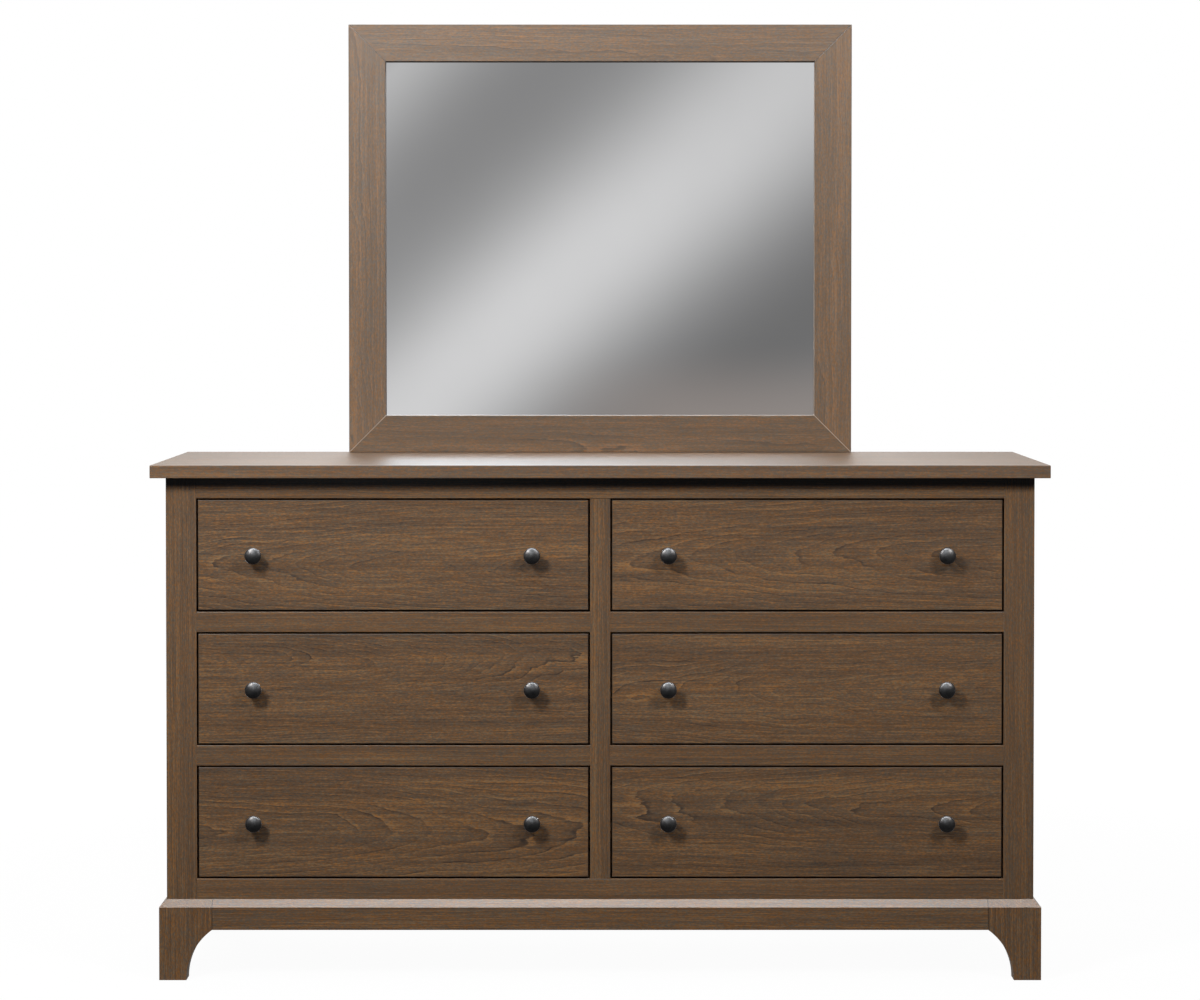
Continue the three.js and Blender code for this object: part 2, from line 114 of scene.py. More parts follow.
class Paint:
    """A shader tree under construction."""

    def __init__(self, owner):
        owner.use_nodes = True
        self.owner = owner
        self.tree = owner.node_tree
        self.tree.nodes.clear()

    def node(self, kind, settings=None, sockets=None):
        """Adds a node: its settings come first, then the values or links of its sockets."""
        made = self.tree.nodes.new(kind)
        for setting, value in (settings or {}).items():
            if setting == "stops":
                self.fill_ramp(made.color_ramp, value)
            elif setting == "curve":
                made.color_ramp.interpolation = value
            else:
                setattr(made, setting, value)
        for socket, value in (sockets or {}).items():
            if isinstance(value, Value):
                self.tree.links.new(value.socket, made.inputs[socket])
            else:
                made.inputs[socket].default_value = value
        return Value(self, made.outputs[0]) if len(made.outputs) else None

    @staticmethod
    def fill_ramp(ramp, stops):
        while len(ramp.elements) > 1:
            ramp.elements.remove(ramp.elements[-1])
        ramp.elements[0].position, ramp.elements[0].color = stops[0]
        for position, shade in stops[1:]:
            ramp.elements.new(position).color = shade

    def place(self):
        """Where a point lies on its object."""
        return self.node("ShaderNodeTexCoord").output("Object")

    def facing(self):
        """The direction in which the surface faces."""
        return self.node("ShaderNodeNewGeometry").output("Normal")

    def parts(self, vector):
        """The X, Y and Z of a vector."""
        split = self.node("ShaderNodeSeparateXYZ", None, {"Vector": vector})
        return [split.output(axis) for axis in AXES]

    def vector(self, x, y, z):
        return self.node("ShaderNodeCombineXYZ", None, {"X": x, "Y": y, "Z": z})

    def noise(self, vector, scale, detail=2.0, roughness=0.5, distortion=0.0):
        """Noise about 0, from roughly -0.5 to 0.5."""
        sockets = {"Vector": vector, "Scale": scale, "Detail": detail, "Roughness": roughness}
        sockets["Distortion"] = distortion
        return self.node("ShaderNodeTexNoise", {"noise_dimensions": "3D"}, sockets) - 0.5

    def chance(self, number):
        """A share from 0 to 1 that is fixed for each number."""
        return self.node("ShaderNodeTexWhiteNoise", {"noise_dimensions": "1D"}, {"W": number})

    def mix(self, share, first, second, blend="MIX"):
        """The second colour laid over the first by a share."""
        settings = {"data_type": "RGBA", "blend_type": blend}
        made = self.node("ShaderNodeMix", settings, {0: share, 6: first, 7: second})
        return Value(self, made.socket.node.outputs[2])

    def ramp(self, share, stops, curve="LINEAR"):
        return self.node("ShaderNodeValToRGB", {"stops": stops, "curve": curve}, {"Fac": share})

    def between(self, value, low, high, low_result=0.0, high_result=1.0):
        """The value's place between two limits, eased and held at both ends."""
        sockets = {"Value": value, "From Min": low, "From Max": high}
        sockets.update({"To Min": low_result, "To Max": high_result})
        return self.node("ShaderNodeMapRange", {"interpolation_type": "SMOOTHSTEP", "clamp": True}, sockets)

    def bump(self, height, distance, strength):
        sockets = {"Height": height, "Distance": distance, "Strength": strength}
        return self.node("ShaderNodeBump", None, sockets)

    def surface(self, **sockets):
        """Ends the tree in one Principled shader; an underscore in a name stands for a space."""
        named = {name.replace("_", " "): value for name, value in sockets.items()}
        shader = self.node("ShaderNodeBsdfPrincipled", None, named)
        self.node("ShaderNodeOutputMaterial", None, {"Surface": shader})
        return self.owner

    def light(self, shade, strength):
        """Ends the tree in plain emitted light."""
        glow = self.node("ShaderNodeEmission", None, {"Color": shade, "Strength": strength})
        self.node("ShaderNodeOutputMaterial", None, {"Surface": glow})
        return self.owner


def new_paint(name):
    return Paint(bpy.data.materials.new(name))


# Stains

class Stain:
    """The tones of a finished wood, from its dark growth lines to its light fibres."""

    def __init__(self, line, dark, middle, light, gloss, figure=1.0, hue=1.0, shine=1.38):
        self.line = colour(*line)
        self.dark = colour(*dark)
        self.middle = colour(*middle)
        self.light = colour(*light)
        self.gloss = gloss
        self.figure = figure
        self.hue = hue
        self.shine = shine


BROWN = dict(line=(54, 44, 37), dark=(64, 50, 38), middle=(95, 72, 51), light=(134, 99, 62))
# A lighter copy of BROWN for the feet and aprons: painted light, making up for the weaker light low down
LIGHTENED_BASE_BROWN = dict(line=(56, 45, 38), dark=(67, 52, 39), middle=(99, 75, 53), light=(139, 102, 64))
# The frame's tones, lighter and greyer than BROWN: partly the wood's own tone, partly a painted sheen
FRAME_BROWN_WITH_SHEEN = dict(line=(62, 54, 48), dark=(72, 59, 47), middle=(98, 77, 57), light=(131, 97, 66))
# A darker copy of the frame's tones for its bottom rail: painted shade of the frame's lower part
SHADED_FRAME_BROWN = dict(line=(57, 49, 42), dark=(66, 53, 41), middle=(90, 70, 50), light=(122, 89, 60))
BACK_BROWN = dict(line=(72, 58, 46), dark=(84, 66, 52), middle=(104, 82, 64), light=(122, 98, 76))
PALE = dict(line=(176, 146, 108), dark=(190, 162, 124), middle=(208, 182, 144), light=(222, 199, 164))

FIGURED_STAIN = Stain(**BROWN, gloss=0.40, figure=1.06)
STRAIGHT_STAIN = Stain(**BROWN, gloss=0.40, figure=0.7)
LIGHTENED_BASE_STAIN = Stain(**LIGHTENED_BASE_BROWN, gloss=0.40, figure=0.7)
TOP_STAIN = Stain(**BROWN, gloss=0.42, figure=0.6, shine=1.46)
MIRROR_STAIN = Stain(**FRAME_BROWN_WITH_SHEEN, gloss=0.38, figure=0.75, hue=0.8, shine=1.48)
MIRROR_SHADED_STAIN = Stain(**SHADED_FRAME_BROWN, gloss=0.38, figure=0.75, hue=0.8, shine=1.48)
BACK_STAIN = Stain(**BACK_BROWN, gloss=0.55, figure=0.7)
CLEAR_FINISH = Stain(**PALE, gloss=0.5)

# Painted shade in corners, under the top's overhang, in the frame's rebate and round the drawer fronts; dark
# hairlines show where boards meet, and the lower mitres carry a painted highlight
PAINTED_SHADE = colour(20, 15, 12)
REBATE_SHADE = colour(34, 25, 19)
FOOT_SEAM = colour(38, 29, 22)
DARK_MITRE = colour(44, 35, 28)
MITRE_PAINTED_HIGHLIGHT = colour(180, 164, 150)

# A fibre is either cooler or warmer than the stain
COOL_CAST = (0.74, 1.02, 1.45, 1.0)
WARM_CAST = (1.26, 0.98, 0.55, 1.0)


# Grain

# Each noise has a length along the grain, a width across it and a seed of its own
GRAIN_NOISES = {
    "band": dict(length=0.70, width=0.026, seed=61.0, detail=3.0, roughness=0.55, distortion=0.3),
    "strand": dict(length=0.21, width=0.0034, seed=66.0, roughness=0.55),
    "fibre": dict(length=0.030, width=0.0018, seed=71.0, roughness=0.6),
    "fleck": dict(length=0.0064, width=0.0021, seed=78.0, roughness=0.6),
    "thread": dict(length=0.0035, width=0.0005, seed=83.0, detail=1.0),
    "pore": dict(length=0.009, width=0.0003, seed=97.0, detail=1.0),
    "sway": dict(length=0.42, width=0.16, seed=3.1),
    "swell": dict(length=0.26, width=0.11, seed=17.7),
    "ripple": dict(length=0.055, width=0.024, seed=31.3, detail=3.0, roughness=0.55),
    "patch": dict(length=0.16, width=0.05, seed=47.9),
    "pause": dict(length=0.045, width=0.007, seed=53.0),
    "speck": dict(length=0.0045, width=0.0014, seed=88.0, roughness=0.6),
    "streak": dict(length=0.035, width=0.0026, seed=91.0, roughness=0.6),
    "cloud": dict(length=0.30, width=0.020, seed=94.0),
}
TONE_SHARES = dict(band=0.75, strand=0.75, fibre=0.75, fleck=1.0, thread=0.4)
HUE_SHARES = dict(speck=3.4, streak=1.5, cloud=0.5)

# How far the noises push a growth ring out of its circle
SWAY_REACH = 34 * MILLIMETRE
SWELL_REACH = 30 * MILLIMETRE
RIPPLE_REACH = 7 * MILLIMETRE
FIBRE_REACH = 0.8 * MILLIMETRE

# A ring's tone from its inner to its outer edge: pale early wood, then the dark line of late wood
LATE_WOOD = [(0.0, 0.0), (0.5, 0.04), (0.84, 0.18), (0.94, 1.0), (0.98, 0.9), (1.0, 0.0)]
EARLY_WOOD_END = 0.34
GLOW_SHARE = 0.34
LINE_SHARE = 0.46

# How strongly lines, pores and end grain cover the stain
LINE_COVER = 0.80
PORE_COVER = 0.38
END_GRAIN_COVER = 0.45

# A wide board is glued up from strips, each cut from another place in a log
WIDE_STRIP = 0.124
STRIP_SHIFT_ALONG = 3.0
STRIP_SHIFT_DEEP = 20 * MILLIMETRE

COMMON_RING = 4.6 * MILLIMETRE
STRAIGHT_CUT = dict(lean=0.004, pith=0.16, drift=0.11, wander=0.35)
FRAME_CUT = dict(lean=0.012, pith=0.085, drift=0.03, wander=0.55)
FRONT_CUTS = {
    "upper_left_drawer_front": dict(lean=-0.085, pith=0.062, drift=0.022, ring=0.0062),
    "upper_right_drawer_front": dict(lean=-0.095, pith=0.070, drift=0.004, ring=0.0078),
    "middle_left_drawer_front": dict(lean=0.080, pith=0.064, drift=-0.050, ring=0.0042),
    "middle_right_drawer_front": dict(lean=-0.075, pith=0.058, drift=0.006, ring=0.0052),
    "lower_left_drawer_front": dict(lean=0.100, pith=0.074, drift=0.014, ring=0.0080),
    "lower_right_drawer_front": dict(lean=-0.085, pith=0.066, drift=-0.028, ring=0.0060),
}


class Board:
    """How one board was cut from its log: the way its grain runs, and where its growth rings lie."""

    def __init__(
        self,
        node,
        along=None,
        lean=None,
        pith=None,
        ring=COMMON_RING,
        strip=None,
        drift=0.0,
        wander=1.0,
    ):
        low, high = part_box(node)
        size = high - low
        by_size = sorted(range(len(AXES)), key=lambda axis: size[axis])
        self.along = by_size[-1] if along is None else AXES.index(along)
        self.depth, self.across = [axis for axis in by_size if axis != self.along]
        self.centre = (low + high) / 2
        chance = random.Random(node)
        self.seed = chance.uniform(0, 90)
        turned = chance.choice((-1, 1))
        self.lean = turned * chance.uniform(0.02, 0.05) if lean is None else lean
        self.pith = chance.uniform(30, 75) * MILLIMETRE if pith is None else pith
        self.ring = ring
        self.strip = strip
        self.drift = drift
        self.wander = wander


class Grain:
    """The axes of one board in its shader, from its middle, and the noises that lie along them."""

    def __init__(self, paint, board):
        self.paint = paint
        self.board = board
        self.noises = {}
        spot = paint.parts(paint.place())
        axes = (board.along, board.across, board.depth)
        self.along, self.across, self.depth = [spot[axis] - board.centre[axis] for axis in axes]
        if board.strip:
            self.split_into_strips()

    def split_into_strips(self):
        strip = (self.across / self.board.strip).math("FLOOR")
        self.across = self.across - (strip + 0.5) * self.board.strip
        change = self.paint.chance(strip + self.board.seed)
        self.along = self.along + change * STRIP_SHIFT_ALONG
        self.depth = self.depth + change * STRIP_SHIFT_DEEP

    def noise(self, name):
        """One of the grain's noises, made once for the board."""
        if name not in self.noises:
            look = dict(GRAIN_NOISES[name])
            length, width, seed = look.pop("length"), look.pop("width"), look.pop("seed")
            shifted = self.along / length + (self.board.seed + seed)
            spot = self.paint.vector(shifted, self.across / width, self.depth / width)
            self.noises[name] = self.paint.noise(spot, 1.0, **look)
        return self.noises[name]

    def blend(self, shares):
        """The sum of some of the noises, each by its share."""
        first, *others = [self.noise(name) * share for name, share in shares.items()]
        for other in others:
            first = first + other
        return first


def growth_rings(grain):
    """The dark lines of late wood and the glow of early wood, where the faces cut the log's rings."""
    paint, board = grain.paint, grain.board
    side = grain.across + grain.noise("sway") * SWAY_REACH * board.wander + board.drift
    waves = grain.noise("swell") * SWELL_REACH + grain.noise("ripple") * RIPPLE_REACH
    rise = waves * board.wander + grain.noise("fibre") * FIBRE_REACH
    down = grain.depth + board.pith + grain.along * board.lean + rise
    turns = (side * side + down * down).math("SQRT") / board.ring
    ring = turns.math("FRACT")
    year = paint.chance(turns.math("FLOOR") + board.seed)
    patch = paint.between(grain.noise("patch"), -0.16, 0.14, low_result=0.25)
    pause = paint.between(grain.noise("pause"), -0.14, 0.08, low_result=0.35)
    stops = [(spot, (tone, tone, tone, 1.0)) for spot, tone in LATE_WOOD]
    line = paint.ramp(ring, stops) * (year * 0.75 + 0.25) * patch
    line = line * pause
    early = paint.between(ring, 0.0, EARLY_WOOD_END, low_result=1.0, high_result=0.0)
    glow = early * (year * 0.6 + 0.3) * patch
    return line, glow


def wood_tones(grain, stain, line, glow, pore):
    """The board's colour: stain tones by the grain, then cast, growth lines, pores and end grain."""
    paint = grain.paint
    tone = 0.5 + (grain.blend(TONE_SHARES) + glow * GLOW_SHARE - line * LINE_SHARE) * stain.figure
    base = paint.ramp(tone, [(0.02, stain.dark), (0.5, stain.middle), (0.98, stain.light)])
    warmth = 0.5 + grain.blend(HUE_SHARES) * stain.hue
    base = paint.mix(1.0, base, paint.mix(warmth, COOL_CAST, WARM_CAST), "MULTIPLY")
    base = paint.mix(line * LINE_COVER * stain.figure, base, stain.line)
    base = paint.mix(pore * PORE_COVER, base, stain.line)
    along_grain = paint.parts(paint.facing())[grain.board.along]
    end_grain = paint.between(along_grain.math("ABSOLUTE"), 0.55, 0.95)
    return paint.mix(end_grain * END_GRAIN_COVER, base, stain.dark)


# Joinery that shows in the finish, and painted shade and highlights at the joints and corners

def hairline(paint, distance, core, edge, strength):
    """A fine line, full within its core and gone at its edge."""
    return paint.between(distance.math("ABSOLUTE"), core, edge, low_result=strength, high_result=0.0)


def mitre_seams(paint, base):
    """Hairlines where the mirror frame's corners meet: dark seams in the upper pair, and in the lower pair a
    pale line, a painted highlight of the joint's edge lit from above.
    """
    low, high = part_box("mirror_bottom_rail")[0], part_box("mirror_top_rail")[1]
    x, _, z = paint.parts(paint.place())
    reach = x.math("ABSOLUTE") - high.x
    for rise, shade in ((z - low.z, MITRE_PAINTED_HIGHLIGHT), (high.z - z, DARK_MITRE)):
        seam = hairline(paint, reach + rise, 0.4 * MILLIMETRE, 1.3 * MILLIMETRE, 0.75)
        base = paint.mix(seam, base, shade)
    return base


def base_seams(paint, base):
    """Dark hairlines where the feet meet the aprons, on the faces that cross each joint."""
    front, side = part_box("front_apron"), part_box("left_side_apron")
    x, y, _ = paint.parts(paint.place())
    facing_x, facing_y, _ = paint.parts(paint.facing())
    joints = [(x.math("ABSOLUTE") - front[1].x, facing_y)]
    joints += [(y - end.y, facing_x) for end in side]
    for distance, facing in joints:
        on_face = paint.between(facing.math("ABSOLUTE"), 0.5, 0.6)
        seam = hairline(paint, distance, 0.5 * MILLIMETRE, 1.4 * MILLIMETRE, 0.6)
        base = paint.mix(seam * on_face, base, FOOT_SEAM)
    return base


def front_rim_shade(paint, base, node):
    """Painted shade along the outer rim of a drawer front's face, which darkens the gaps round it."""
    low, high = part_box(node)
    centre, half = (low + high) / 2, (high - low) / 2
    x, _, z = paint.parts(paint.place())
    inward_x = half.x - (x - centre.x).math("ABSOLUTE")
    inward_z = half.z - (z - centre.z).math("ABSOLUTE")
    near = paint.between(inward_x.math("MINIMUM", inward_z), 1.4 * MILLIMETRE, 0.8 * MILLIMETRE)
    on_face = paint.between(paint.parts(paint.facing())[1], -0.6, -0.9)
    return paint.mix(near * on_face * 0.9, base, PAINTED_SHADE)


def overhang_shadow(paint):
    """1 in the painted shadow under the top's overhang, and 0 lower down."""
    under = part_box("top_panel")[0].z
    height = paint.parts(paint.place())[2]
    return paint.between(height, under - 30 * MILLIMETRE, under - 10 * MILLIMETRE)


def rebate_corner(paint):
    """1 on the frame's inner face under the top rail, less at the left, and 0 on faces that light reaches."""
    low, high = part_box("mirror_glass")
    middle = (low + high) / 2
    place, normal = paint.place(), paint.facing()
    reach = paint.node("ShaderNodeVectorMath", {"operation": "SUBTRACT"}, {0: place, 1: tuple(middle)})
    outward = paint.node("ShaderNodeVectorMath", {"operation": "DOT_PRODUCT"}, {0: normal, 1: reach})
    facing_x, _, facing_z = paint.parts(normal)
    turned_away = facing_x * 0.6 - facing_z
    return paint.between(outward.output("Value"), -0.05, -0.2) * paint.between(turned_away, 0.0, 1.0)


def joinery_and_painted_shade(paint, node, base, roughness):
    """Seams between boards, and painted shade in the corners: in the frame's rebate, round the drawer fronts
    and under the top.
    """
    if node.startswith("mirror_") and node != "mirror_backing":
        # Painted shade on the frame's inner faces round the glass, with rougher gloss there
        rebate = rebate_corner(paint)
        base = paint.mix(rebate * 0.8, mitre_seams(paint, base), REBATE_SHADE)
        roughness = roughness + rebate * 0.5
    if "apron" in node or "foot" in node:
        base = base_seams(paint, base)
    if node in FRONT_CUTS:
        # Painted shade round the drawer fronts, by the gaps
        base = front_rim_shade(paint, base, node)
    if node in ("top_rail", "left_stile", "centre_stile", "right_stile"):
        # Painted shadow under the top's overhang: darker colour, and lower roughness so the gloss there shows
        # only the dim surroundings
        corner = overhang_shadow(paint)
        base = paint.mix(corner * 0.75, base, PAINTED_SHADE)
        roughness = roughness - corner * 0.32
    return base, roughness


def stained_wood(node, stain, board):
    """Growth rings of one log cut by the board's faces, with fibres, pores and a satin finish over them."""
    paint = new_paint(node + "_wood")
    grain = Grain(paint, board)
    fibre, thread = grain.noise("fibre"), grain.noise("thread")
    line, glow = growth_rings(grain)
    pore = paint.between(grain.noise("pore"), 0.12, 0.22)
    base = wood_tones(grain, stain, line, glow, pore)
    roughness = stain.gloss + fibre * 0.10 + pore * 0.06 - line * 0.03
    base, roughness = joinery_and_painted_shade(paint, node, base, roughness)
    height = fibre * 0.6 + thread * 0.35 - pore * 0.5 - line * 0.3
    normal = paint.bump(height, 0.10 * MILLIMETRE, 0.35)
    return paint.surface(Base_Color=base, Roughness=roughness, IOR=stain.shine, Normal=normal)


def wood_for(node):
    """The stain and the cut of one wooden node."""
    if node in FRONT_CUTS:
        return FIGURED_STAIN, Board(node, along="X", **FRONT_CUTS[node])
    if node == "top_panel":
        return TOP_STAIN, Board(node, strip=WIDE_STRIP, **STRAIGHT_CUT)
    if node.endswith("_side_panel"):
        return STRAIGHT_STAIN, Board(node, strip=WIDE_STRIP, **STRAIGHT_CUT)
    # The bottom rail takes a darker copy of the frame's stain: painted shade
    if node == "mirror_bottom_rail":
        return MIRROR_SHADED_STAIN, Board(node, **FRAME_CUT)
    if node in ("mirror_top_rail", "mirror_left_stile", "mirror_right_stile"):
        return MIRROR_STAIN, Board(node, **FRAME_CUT)
    if node in ("back_panel", "mirror_backing", "left_mirror_support", "right_mirror_support"):
        return BACK_STAIN, Board(node)
    if node.endswith("_drawer_box"):
        return CLEAR_FINISH, Board(node, along="Y")
    if node.endswith("_drawer_floor") or node in ("centre_partition", "case_floor"):
        return CLEAR_FINISH, Board(node)
    if "foot" in node or "apron" in node or node == "bottom_rail":
        return LIGHTENED_BASE_STAIN, Board(node, **STRAIGHT_CUT)
    return STRAIGHT_STAIN, Board(node, **STRAIGHT_CUT)


# Mirror and metal

def silvered_glass():
    """Mirror glass: bright, and very slightly uneven in its polish."""
    paint = new_paint("mirror_silver")
    place = paint.place()
    film = paint.noise(place, 7.0)
    smear = paint.noise(place, 46.0, detail=3.0, roughness=0.6)
    base = paint.mix(film + 0.5, colour(243, 243, 244), colour(248, 248, 249))
    return paint.surface(Base_Color=base, Metallic=1.0, Roughness=0.018 + smear * 0.014)


def plated_steel():
    """Plated screw steel, dull and a little cloudy."""
    paint = new_paint("plated_screw_steel")
    cloud = paint.noise(paint.place(), 420.0, detail=3.0, roughness=0.6)
    base = paint.mix(cloud + 0.5, colour(128, 124, 112), colour(176, 172, 160))
    return paint.surface(Base_Color=base, Metallic=1.0, Roughness=0.38 + cloud * 0.16)


def dark_bronze():
    """Dark bronze with small worn flecks."""
    paint = new_paint("knob_bronze")
    place = paint.place()
    cloud = paint.noise(place, 150.0, detail=3.0, roughness=0.6)
    fleck = paint.between(paint.noise(place, 900.0, roughness=0.6), 0.10, 0.20)
    base = paint.mix(cloud + 0.5, colour(54, 53, 53), colour(91, 89, 88))
    base = paint.mix(fleck * 0.5, base, colour(122, 118, 116))
    return paint.surface(
        Base_Color=base,
        Metallic=1.0,
        Roughness=0.37 + cloud * 0.12,
        Sheen_Weight=1.0,
        Sheen_Roughness=0.25,
        Sheen_Tint=colour(236, 238, 242),
        Normal=paint.bump(cloud + fleck * 0.4, 0.06 * MILLIMETRE, 0.3),
    )


# Pieces

def dress(piece, material):
    """Gives a piece one material."""
    piece.data.materials.clear()
    piece.data.materials.append(material)


def finish_nodes():
    """Gives every wooden node its own board of wood, and the glass its silver."""
    for name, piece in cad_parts.items():
        if name == "mirror_glass":
            dress(piece, silvered_glass())
        elif not name.endswith("_knob"):
            dress(piece, stained_wood(name, *wood_for(name)))


def new_mesh(name, build):
    """An object whose mesh is filled by build(bmesh)."""
    shape = bmesh.new()
    build(shape)
    bmesh.ops.recalc_face_normals(shape, faces=shape.faces)
    mesh = bpy.data.meshes.new(name)
    shape.to_mesh(mesh)
    shape.free()
    piece = bpy.data.objects.new(name, mesh)
    bpy.context.scene.collection.objects.link(piece)
    return piece


def sweep(steps, start=0.0, end=RIGHT_ANGLE):
    """Angles from a start to an end in equal steps."""
    return [start + (end - start) * i / steps for i in range(steps + 1)]


def turned(shape, profile, centre, sides):
    """Turns a profile of (radius, place along Y) about a line along Y through the centre."""
    rows = []
    for radius, along in profile:
        if radius == 0:
            rows.append([shape.verts.new((centre.x, along, centre.z))])
            continue
        row = []
        for i in range(sides):
            angle = 2 * math.pi * i / sides
            spot = (centre.x + radius * math.cos(angle), along, centre.z + radius * math.sin(angle))
            row.append(shape.verts.new(spot))
        rows.append(row)
    for first, second in zip(rows, rows[1:]):
        for i in range(sides):
            corners = [first[i % len(first)], first[(i + 1) % len(first)]]
            corners += [second[(i + 1) % len(second)], second[i % len(second)]]
            shape.faces.new(dict.fromkeys(corners))


def cut_out(piece, cutter):
    """Takes the cutter's shape out of a piece for good."""
    cutting = piece.modifiers.new("cut", "BOOLEAN")
    cutting.object = cutter
    cutting.solver = "EXACT"
    bpy.context.view_layer.update()
    graph = bpy.context.evaluated_depsgraph_get()
    cut_mesh = bpy.data.meshes.new_from_object(piece.evaluated_get(graph))
    piece.modifiers.clear()
    whole = piece.data
    piece.data = cut_mesh
    bpy.data.meshes.remove(whole)
    bpy.data.objects.remove(cutter)


def smooth(piece):
    """Smooth shading that keeps the sharp edges."""
    for polygon in piece.data.polygons:
        polygon.use_smooth = True
    piece.data.set_sharp_from_angle(angle=math.radians(30))


# Screws

CROWN_STEPS = 6
CROSS_HALF_WIDTH = 0.55 * MILLIMETRE
CROSS_TAPER = 0.45


def screw_crown(radius, height, wall, seat):
    """A screw head's outline as (radius, place along Y), from its wall to the middle of its crown."""
    outline = []
    for angle in sweep(CROWN_STEPS):
        rise = height * (wall + (1 - wall) * math.sin(angle))
        outline.append((radius * math.cos(angle), seat + rise))
    outline[-1] = (0, outline[-1][1])
    return outline


def cross_recess(shape, spots, reach, depth):
    """Tapered crosses that cut into screw heads facing +Y, each at its own end point."""
    corners = []
    width = CROSS_HALF_WIDTH
    for quarter in range(4):
        cosine = round(math.cos(RIGHT_ANGLE * quarter))
        sine = round(math.sin(RIGHT_ANGLE * quarter))
        for u, v in ((width, width), (width, reach), (-width, reach)):
            corners.append((u * cosine - v * sine, u * sine + v * cosine))
    for spot in spots:
        rings = []
        for along, share in ((depth, 1.0), (-depth, CROSS_TAPER)):
            places = [(spot.x + u * share, spot.y + along, spot.z + v * share) for u, v in corners]
            rings.append([shape.verts.new(place) for place in places])
        shape.faces.new(rings[0])
        shape.faces.new(reversed(rings[1]))
        for i in range(len(corners)):
            j = (i + 1) % len(corners)
            shape.faces.new([rings[0][i], rings[0][j], rings[1][j], rings[1][i]])


def screws(name, spots, material, radius, height):
    """Round screw heads with a cross, driven from behind into the given points of the back."""

    def build(shape):
        for spot in spots:
            profile = [(0, spot.y), *screw_crown(radius, height, 0.3, spot.y)]
            turned(shape, profile, spot, sides=24)

    piece = new_mesh(name, build)
    ends = [Vector((spot.x, spot.y + height, spot.z)) for spot in spots]
    reach, depth = radius * 0.56, 1.2 * MILLIMETRE
    cut_out(piece, new_mesh("recess", lambda shape: cross_recess(shape, ends, reach, depth)))
    smooth(piece)
    dress(piece, material)
    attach(piece, "case_and_mirror")


def support_screws(material):
    """Screws through the mirror supports, in pairs at the foot and into the frame's lower rail."""
    case_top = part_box("top_panel")[1].z
    rails = [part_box(node) for node in ("mirror_bottom_rail", "mirror_top_rail")]
    lower_rail, upper_rail = [(low.z + high.z) / 2 for low, high in rails]
    foot_inset, pitch, below_top, end_inset = 0.03, 0.11, 0.06, 0.014
    spots = []
    for node in ("left_mirror_support", "right_mirror_support"):
        low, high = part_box(node)
        middle = (low.x + high.x) / 2
        apart = (high.x - low.x) * 0.22
        foot = low.z + foot_inset
        rows = [(foot, apart), (foot + pitch, 0), (case_top - below_top, 0)]
        rows += [(lower_rail, apart), (upper_rail, 0)]
        for height, offset in rows:
            height = min(height, high.z - end_inset)
            places = (middle - offset, middle + offset) if offset else (middle,)
            spots += [Vector((x, high.y, height)) for x in places]
    screws("mirror_support_screws", spots, material, radius=4.2 * MILLIMETRE, height=1.9 * MILLIMETRE)


def panel_screws(material):
    """Screws round the edge of the back panel."""
    low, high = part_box("back_panel")
    inset, pitch = 0.012, 0.16
    across = round((high.x - low.x) / pitch)
    upward = round((high.z - low.z) / pitch)
    spots = []
    for i in range(across + 1):
        x = low.x + inset + (high.x - low.x - 2 * inset) * i / across
        spots += [Vector((x, high.y, z)) for z in (low.z + inset, high.z - inset)]
    for i in range(1, upward):
        z = low.z + inset + (high.z - low.z - 2 * inset) * i / upward
        spots += [Vector((x, high.y, z)) for x in (low.x + inset, high.x - inset)]
    screws("back_panel_screws", spots, material, radius=3.4 * MILLIMETRE, height=1.4 * MILLIMETRE)


# Knobs: a shallow dome with a rolled rim, a neck that flares into it, and a small base

DOME_RADIUS = 29 * MILLIMETRE
RIM_RADIUS = 3.6 * MILLIMETRE
NECK_RADIUS = 6 * MILLIMETRE
NECK_LENGTH = 8 * MILLIMETRE
NECK_FILLET = 1.4 * MILLIMETRE
BASE_RADIUS = 10 * MILLIMETRE
BASE_THICKNESS = 2.5 * MILLIMETRE
BASE_EDGE = 0.7 * MILLIMETRE
BASE_SEAT = 0.2 * MILLIMETRE
SHANK_RADIUS = 2 * MILLIMETRE
KNOB_SCREW_RADIUS = 4.5 * MILLIMETRE
KNOB_SCREW_HEIGHT = 2.5 * MILLIMETRE
KNOB_STEPS = 12


